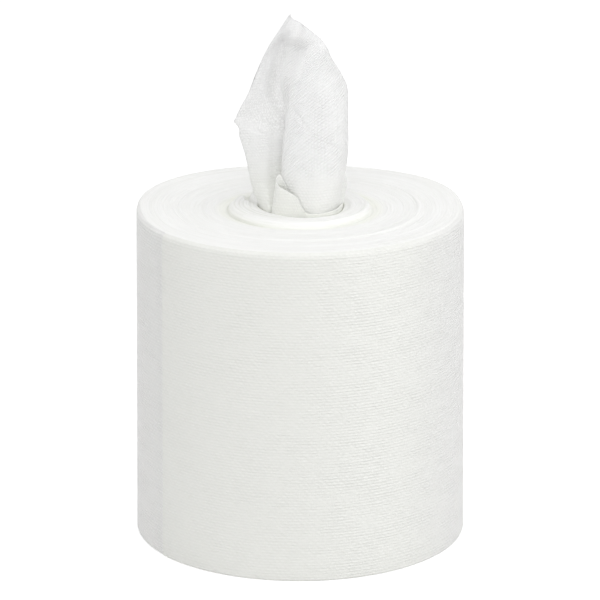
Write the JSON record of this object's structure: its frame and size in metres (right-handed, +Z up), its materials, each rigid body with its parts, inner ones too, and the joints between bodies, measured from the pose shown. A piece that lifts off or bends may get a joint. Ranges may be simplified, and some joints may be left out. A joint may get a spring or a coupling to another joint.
{
  "type": "roll of wet wipes",
  "caption": "Coreless centre-pull roll of damp nonwoven wipes standing on end, its first wipe drawn up out of the middle in a gathered scroll and the next one starting to follow.",
  "frame": {"origin": "middle of the bottom face, on the roll's own axis", "axes": "+Z up along the roll's axis, -Y towards the side seen first, +X to the right of it"},
  "size_m": [0.1985, 0.1989, 0.3232],
  "materials": {
    "wound_web": "matte damp nonwoven, off-white",
    "drawn_wipe": "matte damp nonwoven, off-white, slightly translucent"
  },
  "bodies": {
    "root": {"wound_roll": "wound_web", "lead_wipe": "drawn_wipe", "next_wipe": "drawn_wipe"}
  },
  "joints": []
}
